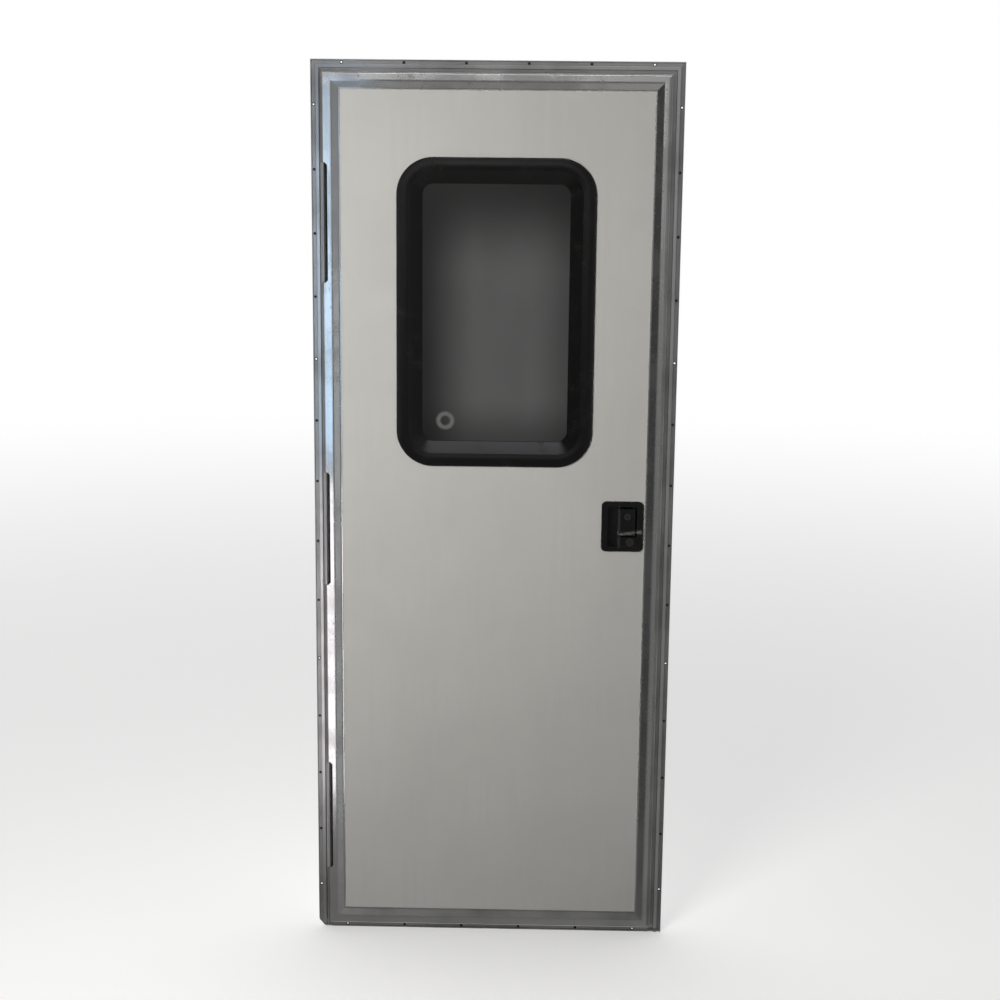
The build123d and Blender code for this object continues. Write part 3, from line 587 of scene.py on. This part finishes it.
def plastic_finish(name, colour, grain, roughness, rubbed=None):
    """Moulded black plastic: fine pebbled grain, dust that lightens it in patches and rubbed shine. Where
    a corner (x, z) is given, painted highlights stand in for light caught by the paddle's edges: a pale
    line rising a little to the corner's right, and a pale upright line at its left edge."""
    finish = Finish(name)
    pebble = finish.noise(grain, detail=2.0, roughness=0.5)
    dust = finish.ramp(finish.noise(26.0, detail=6.0, roughness=0.65, shift=4.0), 0.48, 0.78)
    rub = finish.noise(12.0, detail=3.0, shift=8.0)
    base = finish.mix(colour, shade(colour, 2.4), dust * 0.5 + finish.crevice(4.0 * MM) * 0.3)
    # Painted highlights: pale lines where the paddle's edges catch the light
    if rubbed:
        x, z = finish.axis("X") - rubbed[0], finish.axis("Z") - rubbed[1]
        highlight_breakup = finish.noise(900.0, (0.07, 1.0, 1.0), detail=3.0, shift=6.0)
        highlight_line = finish.hump(z - x * HIGHLIGHT_RISE, 0.5 * MM, HIGHLIGHT_LINE_WIDTH) * finish.ramp(x, -3.0 * MM, 0.0)
        highlight_line = highlight_line * finish.ramp(highlight_breakup, 0.36, 0.60)
        edge = finish.hump(x, 1.0 * MM, HIGHLIGHT_EDGE_WIDTH) * finish.plateau(z, *HIGHLIGHT_EDGE_ENDS)
        edge = edge * (0.08 + 0.16 * rub)
        base = finish.mix(base, PAINTED_HIGHLIGHT_GREY, finish.math("MAXIMUM", edge, highlight_line))
    rough = roughness + 0.12 * dust + 0.06 * rub
    shader = finish.surface(base, rough, pebble, 0.04 * MM, rounding=0.9 * MM, Specular_IOR_Level=0.36)
    return finish.done(shader)


def rubber_finish(name, colour):
    """Matt rubber with chalky bloom."""
    finish = Finish(name)
    bloom = finish.ramp(finish.noise(40.0, detail=6.0, roughness=0.7), 0.5, 0.8)
    pore = finish.noise(1500.0, detail=2.0, shift=2.0)
    base = finish.mix(colour, shade(colour, 3.0), bloom * 0.5)
    return finish.done(finish.surface(base, 0.72 + 0.15 * bloom, pore, 0.06 * MM))


def steel_finish(name, colour, roughness):
    """Plated steel: a brushed grain, a faint warm bloom and dark spots."""
    finish = Finish(name)
    brush = finish.noise(1300.0, (1.0, 1.0, 0.03), detail=2.0)
    bloom = finish.noise(70.0, detail=4.0, shift=6.0)
    spots = finish.ramp(finish.noise(240.0, detail=5.0, roughness=0.7, shift=1.0), 0.64, 0.74)
    warm = (colour[0] * 1.06, colour[1], colour[2] * 0.88, 1.0)
    base = finish.mix(colour, warm, finish.ramp(bloom, 0.4, 0.6))
    base = finish.mix(base, shade(colour, 0.35), spots * 0.5)
    rough = roughness + 0.12 * brush + 0.2 * spots
    return finish.done(finish.surface(base, rough, brush, 0.04 * MM, rounding=0.3 * MM, Metallic=1.0))


def foam_finish(name, colour):
    """Rigid foam with open cells."""
    finish = Finish(name)
    cells = finish.add("ShaderNodeTexVoronoi", {}, "Distance", Vector=finish.place, Scale=420.0)
    tone = finish.noise(11.0)
    base = finish.mix(colour, shade(colour, 0.82), tone)
    return finish.done(finish.surface(base, 0.9 + 0.05 * tone, cells, 0.6 * MM))


def hole_finish(name):
    """Painted shadow: near-black for the shaded inside of a drilled hole, with paler flecks of swarf."""
    finish = Finish(name)
    swarf = finish.ramp(finish.noise(900.0, detail=3.0), 0.55, 0.75)
    base = finish.mix(HOLE_SHADOW, HOLE_SWARF, swarf * 0.6)
    return finish.done(finish.surface(base, 0.55 + 0.2 * swarf, swarf, 0.05 * MM))


def glass_finish(name, colour, mark, mark_radius):
    """Tinted glass with a plain etched ring in one corner, faint wipe marks, and painted shade from the
    frame's
    recess: the tint darker towards the edges, most of all at the left and the top."""
    finish = Finish(name)
    x, z = finish.axis("X"), finish.axis("Z")
    wipe = finish.noise(16.0, (1.0, 1.0, 0.35), detail=5.0, shift=3.0)

    low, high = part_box("window_glass")
    inward = {"left": x - low.x, "top": high.z - z, "right": high.x - x, "bottom": z - low.z}
    # Painted shade: the tint is kept in the middle and darkened towards each edge
    painted_vignette = 0.72 + 0.25 * wipe
    for edge, (left_over, start, whole) in GLASS_SHADE_EDGES.items():
        painted_vignette = painted_vignette * (left_over + (1.0 - left_over) * finish.ramp(inward[edge], start, whole))
    tint = finish.mix(shade(colour, 0.04), colour, painted_vignette)
    clear = finish.surface(tint, 0.02 + 0.05 * wipe, IOR=1.5, Transmission_Weight=0.8)

    away = ((x - mark[0]) ** 2.0 + (z - mark[1]) ** 2.0) ** 0.5
    ring = finish.plateau(away / mark_radius, 0.36, 0.62, 0.72, 1.05)
    etched = ring * (0.25 + 0.45 * finish.noise(120.0, detail=3.0))
    frosted = finish.surface(finish.mix(grey(0.30), grey(0.42), wipe), 0.6 + 0.2 * wipe)
    return finish.done(finish.add("ShaderNodeMixShader", {}, Fac=etched, Shader=clear, Shader_001=frosted))


# Operators


def dress(finish, *nodes):
    """Gives CAD nodes one material."""
    for node in nodes:
        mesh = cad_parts[node].data
        mesh.materials.clear()
        mesh.materials.append(finish)


class DOOR_OT_extrusions(bpy.types.Operator):
    """Finish the aluminium frame, hinge and leaf edges, and drill the flange"""

    bl_idname = "caravan_door.extrusions"
    bl_label = "Aluminium extrusions"

    def drill(self, sizes):
        """Burrs round the open screw holes and closed dark mouths for the rest of their rows, both in
        painted shadow: near-black for the shade inside the holes.
        """
        low, high = CAD_BOX
        sides = (low.x + HOLE_INSET, high.x - HOLE_INSET)
        ends = (low.z + HOLE_INSET, high.z - HOLE_INSET)
        up = low.z + FIRST_SIDE_HOLE + HOLE_PITCH_UP * np.arange(SIDE_HOLES)
        across = HOLE_PITCH_ACROSS * (np.arange(END_HOLES) - (END_HOLES - 1) / 2)
        opened = [(x, FLANGE_FRONT, z) for x in sides for z in up[list(OPEN_SIDE_HOLES)]]
        opened += [(x, FLANGE_FRONT, z) for x in across[[0, -1]] for z in ends]
        shadowed = [(x, FLANGE_FRONT, z) for x in sides for z in np.delete(up, OPEN_SIDE_HOLES)]
        shadowed += [(x, FLANGE_FRONT, z) for x in across[1:-1] for z in ends]
        shadow = hole_finish("hole_shadow")
        mouths = copied(*hole_mouth(sizes.hole_radius, sizes.burr_height), shadowed, (0, -1, 0))
        add_piece("flange_holes", *mouths, shadow, "frame", "frame_aluminium")
        # The burrs round the open holes are painted with the same near-black shadow
        burrs = copied(*hole_burr(sizes.hole_radius, sizes.burr_height), opened, (0, -1, 0))
        add_piece("flange_burrs", *burrs, shadow, "frame", "frame_aluminium")

    def execute(self, context):
        colour = tuple(context.scene.door_finishes.aluminium)
        dress(aluminium_finish("hinge_stile", colour, "Z", painted_shade=hinge_barrel_painted_shade), "hinge_stile")
        dress(aluminium_finish("latch_stile", colour, "Z", painted_shade=shoulder_painted_shade), "latch_stile")
        dress(aluminium_finish("top_rail", colour, "X"), "top_rail")
        dress(aluminium_finish("bottom_rail", colour, "X", painted_shade=bottom_slope_painted_shade), "bottom_rail")
        # Each side of the frame gets its own amount of painted shade, the latch side the darkest in its
        # channel
        for side, (channel, gap) in FLANGE_PAINTED_SHADE.items():
            run = "Z" if side.endswith("jamb") else "X"
            painted_shade = partial(flange_painted_shade, in_channel=channel, in_gap=gap)
            dress(aluminium_finish(side, colour, run, WEATHERED, painted_shade), side)
        knuckles = ("upper_hinge_knuckle", "middle_hinge_knuckle", "lower_hinge_knuckle")
        dress(aluminium_finish("hinge_knuckles", colour, "Z", WEATHERED), *knuckles)
        self.drill(context.scene.door_sizes)
        return {"FINISHED"}


class DOOR_OT_panel(bpy.types.Operator):
    """Finish the leaf's sandwich panel"""

    bl_idname = "caravan_door.panel"
    bl_label = "Panel"

    def execute(self, context):
        colours = context.scene.door_finishes
        dress(skin_finish("outer_sheet", tuple(colours.outer_skin)), "outer_skin")
        dress(skin_finish("inner_sheet", tuple(colours.inner_skin)), "inner_skin")
        dress(foam_finish("core_foam", tuple(colours.foam)), "core")
        return {"FINISHED"}


class DOOR_OT_seals(bpy.types.Operator):
    """Finish the bulb seals and the glazing seal"""

    bl_idname = "caravan_door.seals"
    bl_label = "Seals"

    def execute(self, context):
        rubber = rubber_finish("black_rubber", tuple(context.scene.door_finishes.rubber))
        dress(rubber, "hinge_side_seal", "latch_side_seal", "top_seal", "bottom_seal", "glazing_seal")
        return {"FINISHED"}


class DOOR_OT_window(bpy.types.Operator):
    """Add the moulded window surround and inner ring and finish the glass"""

    bl_idname = "caravan_door.window"
    bl_label = "Window"

    def surround_profile(self, sizes):
        """The surround's section, as inset and depth: from the skin round the outer edge, over the crowned
        rim, round the lip, down the bevel and the land to the glass, and back along the hub."""
        low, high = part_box("window_frame")
        front, back, foot = low.y, high.y, high.y - sizes.window_land
        edge, lip = sizes.window_edge, sizes.window_lip
        rim, inner = sizes.window_rim, sizes.window_surround
        slope = np.degrees(np.arctan2(foot - front, inner - rim))
        turn_in = rim - lip * np.tan(np.radians(slope / 2))
        across = np.linspace(0.0, 1.0, 9)[1:-1]
        crown = front - sizes.window_crown * np.sin(np.pi * across)
        profile = [[[0.0, SKIN_FRONT]], arc((edge, front + edge), edge, 180, 270)]
        profile += [np.stack([edge + (turn_in - edge) * across, crown], axis=-1)]
        profile += [arc((turn_in, front + lip), lip, 270, 270 + slope), [[inner, foot], [inner, back]]]
        profile += [[[sizes.window_hub, back], [sizes.window_hub, SKIN_FRONT]]]
        return np.concatenate(profile)

    def ring_profile(self, sizes):
        """The inner ring's section, as inset and depth: up the hub, out under the flange, round its outer
        edge, across it, and down the flare to the glass."""
        low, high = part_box("window_trim_ring")
        outer, sheet = low.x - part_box("window_frame")[0].x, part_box("inner_skin")[1].y
        hub, inner, bend = sizes.window_hub, sizes.window_surround, sizes.ring_edge
        lean = np.degrees(np.arctan2(high.y - low.y, sizes.ring_flare))
        start = inner - sizes.ring_flare - bend * np.tan(np.radians(45 - lean / 2))
        profile = [[[hub, low.y], [hub, sheet], [outer, sheet]]]
        profile += [arc((outer + bend, high.y - bend), bend, 180, 90)]
        profile += [arc((start, high.y - bend), bend, 90, 90 - lean), [[inner, low.y]]]
        return np.concatenate(profile)

    def execute(self, context):
        colours, sizes = context.scene.door_finishes, context.scene.door_sizes
        black = tuple(colours.window_plastic)
        plastic = plastic_finish("window_moulding", black, grain=1500.0, roughness=0.18)
        low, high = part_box("window_frame")
        middle = ((low.x + high.x) / 2, (low.z + high.z) / 2)
        outline, normals = rounded_outline(high.x - low.x, high.z - low.z, sizes.window_radius)

        swept = carried_round(outline, normals, self.surround_profile(sizes), middle)
        piece = add_piece("window_surround", *swept, plastic, "leaf", "window_plastic")
        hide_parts("window_frame")

        swept = carried_round(outline, normals, self.ring_profile(sizes), middle)
        piece = add_piece("window_inner_ring", *swept, plastic, "leaf", "window_plastic")
        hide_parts("window_trim_ring")

        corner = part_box("window_glass")[0]
        mark = (corner.x + sizes.mark_right, corner.z + sizes.mark_up)
        dress(glass_finish("tinted_glass", tuple(colours.glass), mark, sizes.mark_radius), "window_glass")
        return {"FINISHED"}


class DOOR_OT_lock(bpy.types.Operator):
    """Finish the paddle lock, its bolts and the hardware inside"""

    bl_idname = "caravan_door.lock"
    bl_label = "Lock"

    def execute(self, context):
        colours = context.scene.door_finishes
        black = tuple(colours.lock_plastic)
        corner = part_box("paddle")[0]
        moulding = partial(plastic_finish, colour=black, grain=1900.0, roughness=0.24)
        dress(moulding("lock_moulding", rubbed=(corner.x, corner.z)), "latch_housing", "paddle")
        dress(moulding("handle_moulding"), "inside_plate", "inside_lever", "thumb_turn")
        steel = steel_finish("plated_steel", tuple(colours.steel), roughness=0.30)
        dress(steel, "lock_case", "edge_plate", "strike_plate", "latch_bolt", "deadbolt", "hinge_pin")
        dark = steel_finish("dark_cylinder", shade(colours.steel, 0.17), roughness=0.38)
        dress(dark, "paddle_cylinder", "deadbolt_cylinder", "paddle_pin")
        return {"FINISHED"}


class DOOR_OT_fasteners(bpy.types.Operator):
    """Add the screws of the inner ring, the inside plate, the strike and the edge plate"""

    bl_idname = "caravan_door.fasteners"
    bl_label = "Fasteners"

    def ring_spots(self, sizes):
        """Places round the inner ring: four up each side, two along each end and one in each corner."""
        low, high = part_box("window_trim_ring")
        half_x = (high.x - low.x) / 2 - sizes.ring_screw_inset
        half_z = (high.z - low.z) / 2 - sizes.ring_screw_inset
        corner = (sizes.window_radius - sizes.ring_screw_inset) * (1 - np.sqrt(0.5))
        steps = sizes.ring_screw_pitch * np.array([-1.5, -0.5, 0.5, 1.5])
        spots = [(x, z) for x in (-half_x, half_x) for z in steps]
        spots += [(x, z) for z in (-half_z, half_z) for x in steps[1:3]]
        spots += [(x * (half_x - corner), z * (half_z - corner)) for x in (-1, 1) for z in (-1, 1)]
        return [((low.x + high.x) / 2 + x, high.y, (low.z + high.z) / 2 + z) for x, z in spots]

    def execute(self, context):
        sizes = context.scene.door_sizes
        inset = sizes.plate_screw_inset
        finish = steel_finish("screw_steel", tuple(context.scene.door_finishes.steel), roughness=0.32)
        head = pan_head(sizes.head_radius, sizes.head_height)
        flat = pan_head(sizes.head_radius, sizes.flat_height)
        ring = copied(*head, self.ring_spots(sizes), (0, 1, 0))
        add_piece("ring_screws", *ring, finish, "leaf", "steel")

        low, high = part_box("inside_plate")
        sides, ends = (low.x + inset, high.x - inset), (low.z + inset, high.z - inset)
        spots = [(x, high.y, z) for x in sides for z in ends]
        add_piece("plate_screws", *copied(*head, spots, (0, 1, 0)), finish, "leaf", "steel")

        low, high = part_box("strike_plate")
        spots = [(low.x, (low.y + high.y) / 2, z) for z in (low.z + inset, high.z - inset)]
        add_piece("strike_screws", *copied(*flat, spots, (-1, 0, 0)), finish, "frame", "steel")

        low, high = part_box("edge_plate")
        spots = [(high.x, (low.y + high.y) / 2, z) for z in (low.z + inset, high.z - inset)]
        add_piece("edge_plate_screws", *copied(*flat, spots, (1, 0, 0)), finish, "leaf", "steel")
        return {"FINISHED"}


class DOOR_OT_stage(bpy.types.Operator):
    """Set the floor, the light and the camera"""

    bl_idname = "caravan_door.stage"
    bl_label = "Stage"

    def softbox(self, context, name, power, lamp, target):
        """A rectangular area light facing a target; returns its object."""
        place, size, colour = lamp
        light = bpy.data.lights.new(name, "AREA")
        light.shape = "RECTANGLE"
        light.size, light.size_y = size
        light.energy, light.color = power, colour
        softbox = bpy.data.objects.new(name, light)
        softbox.visible_camera = False
        softbox.location = place
        softbox.rotation_euler = (Vector(place) - Vector(target)).to_track_quat("Z", "Y").to_euler()
        context.scene.collection.objects.link(softbox)
        return softbox

    def floor(self, context, colour):
        """A wide pale floor whose tone runs out into the white backdrop."""
        finish = Finish("studio_floor")
        x, y = finish.axis("X"), finish.axis("Y")
        away = finish.ramp((x * x + y * y) ** 0.5, *FLOOR_FADE)
        glow = {"Emission_Color": finish.mix(grey(0.36), WHITE, away), "Emission_Strength": 1.0}
        tone = finish.mix(colour, BLACK, away)
        shader = finish.surface(tone, 0.7 + 0.1 * away, Specular_IOR_Level=0.0, **glow)
        mesh = bpy.data.meshes.new("studio_floor")
        signs = ((-1, -1), (1, -1), (1, 1), (-1, 1))
        corners = [(x * FLOOR_REACH, y * FLOOR_REACH, CAD_BOX[0].z) for x, y in signs]
        mesh.from_pydata(corners, [], [(0, 1, 2, 3)])
        mesh.materials.append(finish.done(shader))
        floor = bpy.data.objects.new("studio_floor", mesh)
        floor.visible_diffuse = floor.visible_glossy = False
        context.scene.collection.objects.link(floor)

    def room(self, context):
        """A white backdrop and, for light and reflections, a dim room with a pale band a little above eye
        level, a paler patch at the right, pale walls at the sides and a pale floor close to the door."""
        world = bpy.data.worlds.new("studio")
        world.use_nodes = True
        room = Shading(world.node_tree, "Generated")
        x, y, z = room.axis("X"), room.axis("Y"), room.axis("Z")
        bearing = room.math("ARCTAN2", x, y * -1.0)
        rise = room.math("ARCSINE", z)
        tone = room.mix(grey(0.04), grey(0.13), room.hump(bearing, 0.0, 0.25))
        for across, up, colour in ROOM_PATCHES.values():
            tone = room.mix(tone, colour, room.hump(bearing, *across) * room.hump(rise, *up))
        across, up, colour = ROOM_WALLS
        walls = room.ramp(room.math("ABSOLUTE", bearing), *across) * room.hump(rise, *up)
        tone = room.mix(tone, colour, walls)
        scattered = room.add("ShaderNodeLightPath", {}, "Is_Diffuse_Ray")
        tone = room.mix(tone, grey(0.03), scattered)
        seen = room.add("ShaderNodeLightPath", {}, "Is_Camera_Ray")
        behind = room.ramp(y, 0.0, 0.3)
        tone = room.mix(tone, WHITE, room.math("MAXIMUM", seen, behind))
        shader = room.add("ShaderNodeBackground", {}, Color=tone)
        room.add("ShaderNodeOutputWorld", {}, Surface=shader)
        context.scene.world = world

    def lights(self, context, stage):
        """A soft key light that reflections don't show, and a skylight and strips that only they show."""
        key = self.softbox(context, "key", stage.key_power, KEY_LAMP, LAMP_TARGET)
        key.visible_glossy = False
        sky = self.softbox(context, "sky", stage.sky_power, SKY_LAMP, LAMP_TARGET)
        sky.visible_diffuse = False
        for name, lamp in STRIP_LAMPS.items():
            target = (STRIP_TARGET_X, 0.0, lamp[0][2])
            strip = self.softbox(context, name, getattr(stage, name + "_power"), lamp, target)
            strip.visible_diffuse = False
            strip.data.spread = STRIP_SPREAD

    def camera(self, context, lens):
        """The photograph's view."""
        camera = bpy.data.cameras.new("photo_view")
        camera.lens, camera.sensor_width, camera.sensor_fit = lens, SENSOR_WIDTH, "HORIZONTAL"
        camera.clip_end = FAR_LIMIT
        eye = bpy.data.objects.new("photo_view", camera)
        aim = Euler(np.radians(CAMERA_TURN)).to_matrix() @ Euler((np.pi / 2, 0, 0)).to_matrix()
        eye.location, eye.rotation_euler = CAMERA_PLACE, aim.to_euler()
        context.scene.collection.objects.link(eye)
        context.scene.camera = eye

    def execute(self, context):
        stage = context.scene.door_stage
        self.floor(context, tuple(stage.floor))
        self.room(context)
        self.lights(context, stage)
        self.camera(context, stage.lens)
        context.scene.view_settings.view_transform = "Standard"
        return {"FINISHED"}


OPERATORS = (
    DOOR_OT_extrusions,
    DOOR_OT_panel,
    DOOR_OT_seals,
    DOOR_OT_window,
    DOOR_OT_lock,
    DOOR_OT_fasteners,
    DOOR_OT_stage,
)
GROUPS = {"door_finishes": DoorFinishes, "door_sizes": DoorSizes, "door_stage": DoorStage}


class DOOR_PT_sidebar(bpy.types.Panel):
    """Lists the door's properties and operators"""

    bl_label = "Caravan entry door"
    bl_idname = "DOOR_PT_sidebar"
    bl_space_type = "VIEW_3D"
    bl_region_type = "UI"
    bl_category = "Door"

    def draw(self, context):
        for group, kind in GROUPS.items():
            for name in kind.__annotations__:
                self.layout.prop(getattr(context.scene, group), name)
        for operator in OPERATORS:
            self.layout.operator(operator.bl_idname)


CLASSES = (*GROUPS.values(), *OPERATORS, DOOR_PT_sidebar)


def register():
    """Makes the classes and the scene's three groups of properties known."""
    for each in CLASSES:
        bpy.utils.register_class(each)
    for name, group in GROUPS.items():
        setattr(bpy.types.Scene, name, bpy.props.PointerProperty(type=group))


def unregister():
    """Takes them away again."""
    for name in GROUPS:
        delattr(bpy.types.Scene, name)
    for each in reversed(CLASSES):
        bpy.utils.unregister_class(each)


def main():
    register()
    for operator in OPERATORS:
        group, name = operator.bl_idname.split(".")
        getattr(getattr(bpy.ops, group), name)()


if __name__ == "__main__":
    main()
